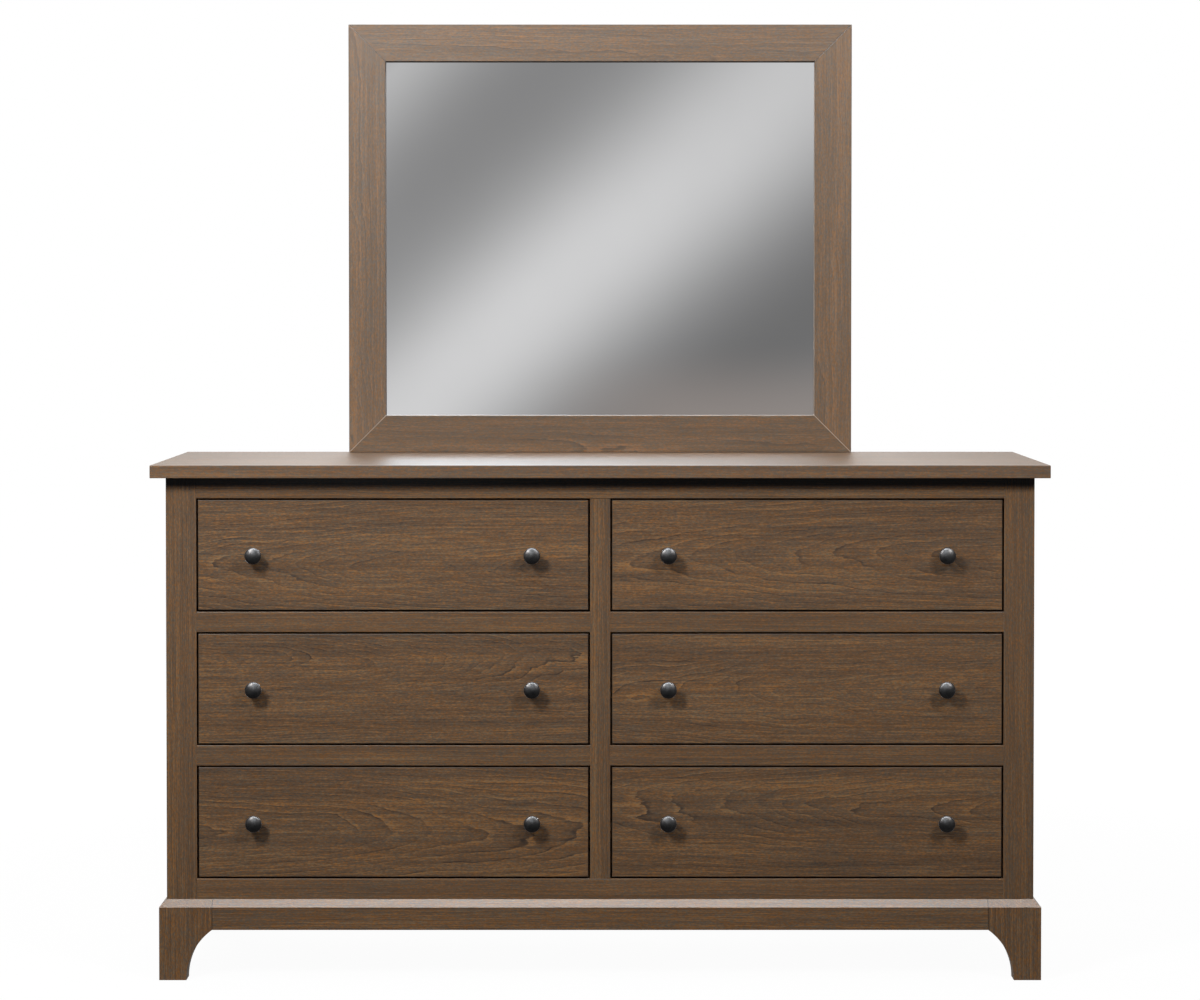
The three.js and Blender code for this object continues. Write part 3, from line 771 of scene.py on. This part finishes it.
def knob_profile(node):
    """The knob's half outline as (radius, place along Y): dome, neck, base, screw shank and screw head."""
    low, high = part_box(node)
    radius = (high.z - low.z) / 2
    front, inside = low.y, high.y
    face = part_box(node.replace("_left_knob", "_front").replace("_right_knob", "_front"))[0].y
    shoulder = math.asin((radius - RIM_RADIUS) / (DOME_RADIUS - RIM_RADIUS))
    rim_depth = DOME_RADIUS * (1 - math.cos(shoulder)) + RIM_RADIUS * math.cos(shoulder)
    rim = front + rim_depth
    flare = face - front - BASE_THICKNESS - NECK_LENGTH - rim_depth
    foot = face - BASE_THICKNESS
    profile = []
    for angle in sweep(KNOB_STEPS, end=shoulder):
        profile.append((DOME_RADIUS * math.sin(angle), front + DOME_RADIUS * (1 - math.cos(angle))))
    for angle in sweep(KNOB_STEPS, start=shoulder)[1:]:
        profile.append((radius - RIM_RADIUS * (1 - math.sin(angle)), rim - RIM_RADIUS * math.cos(angle)))
    for angle in sweep(KNOB_STEPS)[1:]:
        out = NECK_RADIUS + (radius - NECK_RADIUS) * math.cos(angle)
        profile.append((out, rim + flare * math.sin(angle)))
    for angle in sweep(6):
        out = NECK_RADIUS + NECK_FILLET * (1 - math.cos(angle))
        profile.append((out, foot - NECK_FILLET + NECK_FILLET * math.sin(angle)))
    for angle in sweep(4):
        out = BASE_RADIUS - BASE_EDGE + BASE_EDGE * math.sin(angle)
        profile.append((out, foot + BASE_EDGE - BASE_EDGE * math.cos(angle)))
    seat = face - BASE_SEAT
    screw_seat = inside - KNOB_SCREW_HEIGHT
    profile += [(BASE_RADIUS, seat), (SHANK_RADIUS, seat), (SHANK_RADIUS, screw_seat)]
    profile.append((KNOB_SCREW_RADIUS, screw_seat))
    return profile + screw_crown(KNOB_SCREW_RADIUS, KNOB_SCREW_HEIGHT, 0.35, screw_seat)[1:]


def knob(node, material):
    """A domed knob on its neck and base, with the screw that holds it from inside the drawer."""
    low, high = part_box(node)
    centre = (low + high) / 2
    piece = new_mesh(node + "_turned", lambda shape: turned(shape, knob_profile(node), centre, sides=64))
    end = Vector((centre.x, high.y, centre.z))
    reach, depth = 2.4 * MILLIMETRE, 1.3 * MILLIMETRE
    cut_out(piece, new_mesh("recess", lambda shape: cross_recess(shape, [end], reach, depth)))
    smooth(piece)
    dress(piece, material)
    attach(piece, node.rsplit("_", 2)[0])
    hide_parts(node)


# Eased edges

def ease_edges(node, width, is_eased):
    """Rounds the chosen straight edges of a board, named by a test on an edge's two ends."""
    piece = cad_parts[node]
    mesh = piece.data
    weight = mesh.attributes.new("bevel_weight_edge", "FLOAT", "EDGE")
    for edge in mesh.edges:
        ends = [mesh.vertices[i].co for i in edge.vertices]
        weight.data[edge.index].value = 1.0 if is_eased(*ends) else 0.0
    weld = piece.modifiers.new("weld", "WELD")
    weld.merge_threshold = 0.01 * MILLIMETRE
    flat = piece.modifiers.new("flat_faces", "DECIMATE")
    flat.decimate_type = "DISSOLVE"
    flat.angle_limit = math.radians(1)
    ease = piece.modifiers.new("eased_edges", "BEVEL")
    ease.limit_method = "WEIGHT"
    ease.width = width
    ease.segments = 2


def ease_rails():
    """The rails' front edges round the drawer openings."""
    for node in ("top_rail", "upper_divider_rail", "lower_divider_rail", "bottom_rail"):
        low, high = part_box(node)
        heights = []
        if node != "bottom_rail":
            heights.append(low.z)
        if node != "top_rail":
            heights.append(high.z)

        def is_eased(start, end):
            on_front = abs(start.y - low.y) < TOUCH and abs(end.y - low.y) < TOUCH
            return on_front and any(abs(start.z - z) < TOUCH and abs(end.z - z) < TOUCH for z in heights)

        ease_edges(node, 1.0 * MILLIMETRE, is_eased)


# Surroundings: stage sheets that light, shade and reflect

FLOOR_HALF = 14.0
CARD_HALF = 9.0
CARD_FRONT = -8.0
SHEET_LIFT = 1 * MILLIMETRE
FAR_FLOOR = colour(74, 74, 76)
SIDE_TONE = colour(112, 112, 114)

# The slanted bands of light on the front card, from one side to the other and back again
BAND_TONES = (205, 150, 139, 160, 218, 215, 138, 104, 124)
FIRST_BAND = -2.07
BAND_WIDTH = 0.47
BAND_HEIGHT = 1.5
HIGH_LIGHT = 6.2
PANEL_LIGHT = 26.5


def seen_rays(paint, gloss):
    """1 where a ray comes straight from the camera or through glass, a share of it from gloss, and else 0."""
    path = paint.node("ShaderNodeLightPath")
    direct = path.output("Is Camera Ray").math("MAXIMUM", path.output("Is Transmission Ray"))
    return direct.math("MAXIMUM", path.output("Is Glossy Ray") * gloss)


def white_world(fill, gloss):
    """A plain white surrounding, dimmer in gloss, whose light on the object is a soft fill."""
    world = bpy.data.worlds.new("studio_surrounding")
    bpy.context.scene.world = world
    paint = Paint(world)
    strength = seen_rays(paint, gloss) * (1 - fill) + fill
    shader = paint.node("ShaderNodeBackground", None, {"Color": WHITE, "Strength": strength})
    paint.node("ShaderNodeOutputWorld", None, {"Surface": shader})


def stage_sheet(name, corners, material):
    """One flat face of the surroundings."""

    def build(shape):
        shape.faces.new([shape.verts.new(corner) for corner in corners])

    sheet = new_mesh(name, build)
    sheet.data.materials.append(material)
    return sheet


def upright_sheet(half, y, low, high):
    """The corners of a sheet that stands facing along Y."""
    return [(-half, y, low), (half, y, low), (half, y, high), (-half, y, high)]


def level_sheet(half, first, second, height):
    """The corners of a sheet that lies level between two places along Y."""
    return [(-half, first, height), (half, first, height), (half, second, height), (-half, second, height)]


def gloss_sheet(name, corners, material):
    """A sheet that lights and shades nothing, and shows in reflections alone."""
    sheet = stage_sheet(name, corners, material)
    for kind in ("camera", "diffuse", "transmission", "volume_scatter", "shadow"):
        setattr(sheet, "visible_" + kind, False)


def pale_floor():
    """A floor as white as the surrounding, that still takes the object's shadow."""
    paint = new_paint("pale_floor")
    reach = paint.node("ShaderNodeVectorMath", {"operation": "LENGTH"}, {0: paint.place()}).output("Value")
    glow = seen_rays(paint, 0.3) * paint.between(reach, 1.2, 3.5, 0.965, 1.0)
    diffuse = paint.node("ShaderNodeBsdfDiffuse", None, {"Color": grey(48)})
    lift = paint.node("ShaderNodeEmission", None, {"Color": WHITE, "Strength": glow})
    both = paint.node("ShaderNodeAddShader", None, {0: diffuse, 1: lift})
    paint.node("ShaderNodeOutputMaterial", None, {"Surface": both})
    stage_sheet("studio_floor", level_sheet(FLOOR_HALF, -FLOOR_HALF, FLOOR_HALF, 0), paint.owner)


def slanted_card():
    """The dim room in front, which only gloss and the mirror see, with slanted soft light in it."""
    paint = new_paint("slanted_light")
    x, _, z = paint.parts(paint.place())
    rise = z - BAND_HEIGHT
    slant = x - rise * 1.15 + x * rise * 0.1 - x * x * 0.1
    last = len(BAND_TONES) - 1
    share = ((slant - FIRST_BAND) / (BAND_WIDTH * last)).math("PINGPONG", 1.0)
    shade = paint.ramp(share, [(i / last, grey(tone)) for i, tone in enumerate(BAND_TONES)], "B_SPLINE")
    # A bright window high up, strongest at its left
    high = paint.between(rise, 1.05, 1.6) * paint.between(rise, 5.0, 4.2) * paint.between(x, -2.2, -1.4)
    high = high * (paint.between(x, 0.9, -0.8) * 0.8 + paint.between(x, 2.6, 1.6) * 0.2)
    # A warmer low part at the right, the floor far off, and the plain sides of the room
    warmth = paint.between(rise, -0.45, -0.85) * paint.between(x, -0.5, 0.4) * 0.45
    shade = paint.mix(warmth, shade, colour(172, 160, 152))
    shade = paint.mix(paint.between(rise, -0.84, -1.15), shade, FAR_FLOOR)
    shade = paint.mix(paint.between(x.math("ABSOLUTE"), 1.8, 3.6), shade, SIDE_TONE)
    shade = paint.mix(high, shade, colour(232, 246, 255))
    strength = high * HIGH_LIGHT + paint.between(rise, -0.2, 0.8, 1.0, 0.9)
    corners = upright_sheet(CARD_HALF, CARD_FRONT, SHEET_LIFT, 6.5)
    gloss_sheet("slanted_card", corners, paint.light(shade, strength))


def rear_card():
    """A white card far behind, which only gloss sees: it veils the top's face at its low angle."""
    behind, top = 6.0, 5.0
    paint = new_paint("rear_card")
    height = paint.parts(paint.place())[2]
    shade = paint.mix(paint.between(height, 0.0, top), colour(255, 250, 244), colour(238, 233, 228))
    gloss_sheet("rear_card", upright_sheet(CARD_HALF, behind, SHEET_LIFT, top), paint.light(shade, 1.0))


def high_panel():
    """A bright panel above, which only gloss sees: it lights the base's bevel and the knobs' crowns."""
    half, near, far, height = 1.7, -0.8, -2.0, 3.6
    paint = new_paint("high_panel")
    veil = paint.noise(paint.place(), 1.2)
    shade = paint.mix(veil + 0.5, colour(230, 243, 255), colour(238, 248, 255))
    gloss_sheet("high_panel", level_sheet(half, near, far, height), paint.light(shade, PANEL_LIGHT))


def dim_carpet():
    """A grey sheet on the floor in front, which only gloss sees: it keeps the satin faces deep in tone."""
    near = -0.34
    paint = new_paint("dim_carpet")
    x, y, _ = paint.parts(paint.place())
    wave = ((x + y * 0.7) * 1.5).math("SINE") * 0.5 + 0.5
    shade = paint.mix(wave, colour(54, 55, 57), colour(82, 83, 85))
    shade = paint.mix(paint.between(y, -3.0, CARD_FRONT), shade, FAR_FLOOR)
    shade = paint.mix(paint.between(x.math("ABSOLUTE"), 1.1, 2.4), shade, SIDE_TONE)
    gloss_sheet("dim_carpet", level_sheet(CARD_HALF, CARD_FRONT, near, SHEET_LIFT), paint.light(shade, 1.0))


# Lamps and camera

# Each lamp's place, the spot it points at, its width and height, and its power in watts
LAMPS = {
    "left_softbox": ((-1.78, -2.5, 2.72), (0, 0, 0.9), (0.6, 1.1), 116),
    "right_softbox": ((1.95, -2.5, 2.72), (0, 0, 0.9), (0.6, 1.1), 63),
    "overhead_softbox": ((0, -0.95, 3.6), (0, -0.1, 0.9), (2.2, 0.8), 30),
    "back_softbox": ((-0.1, 3.2, 2.9), (0, 0.2, 0.9), (2.2, 1.4), 40),
    "left_rear_softbox": ((-3.3, 2.6, 2.1), (0, 0.2, 0.8), (1.2, 1.2), 60),
    "right_rear_softbox": ((3.3, 2.6, 2.1), (0, 0.2, 0.8), (1.2, 1.2), 60),
}

EYE = (0.0, -5.4735, 1.2075)
EYE_TILT = math.radians(90 - 1.246)
FILM_WIDTH = 36.0
LENS_LENGTH = 88.38
LENS_SHIFT = (-0.000127, -0.11)


def lamp(name, place, target, size, power):
    """A softbox that points at a spot on the object."""
    data = bpy.data.lights.new(name, "AREA")
    data.shape = "RECTANGLE"
    data.size, data.size_y = size
    data.energy = power
    lit = bpy.data.objects.new(name, data)
    lit.location = place
    lit.rotation_euler = (Vector(target) - Vector(place)).to_track_quat("-Z", "Y").to_euler()
    bpy.context.scene.collection.objects.link(lit)
    lit.visible_camera = False


def camera():
    """The photograph's viewpoint: level with the mirror, looking a little down."""
    data = bpy.data.cameras.new("camera")
    data.sensor_width = FILM_WIDTH
    data.lens = LENS_LENGTH
    data.shift_x, data.shift_y = LENS_SHIFT
    eye = bpy.data.objects.new("camera", data)
    eye.location = EYE
    eye.rotation_euler = (EYE_TILT, 0.0, 0.0)
    bpy.context.scene.collection.objects.link(eye)
    bpy.context.scene.camera = eye


finish_nodes()
ease_rails()
bronze = dark_bronze()
for node_name in sorted(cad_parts):
    if node_name.endswith("_knob"):
        knob(node_name, bronze)
steel = plated_steel()
support_screws(steel)
panel_screws(steel)

white_world(fill=0.02, gloss=0.25)
pale_floor()
slanted_card()
rear_card()
high_panel()
dim_carpet()
for lamp_name, settings in LAMPS.items():
    lamp(lamp_name, *settings)
camera()

bpy.context.scene.view_settings.view_transform = "Standard"
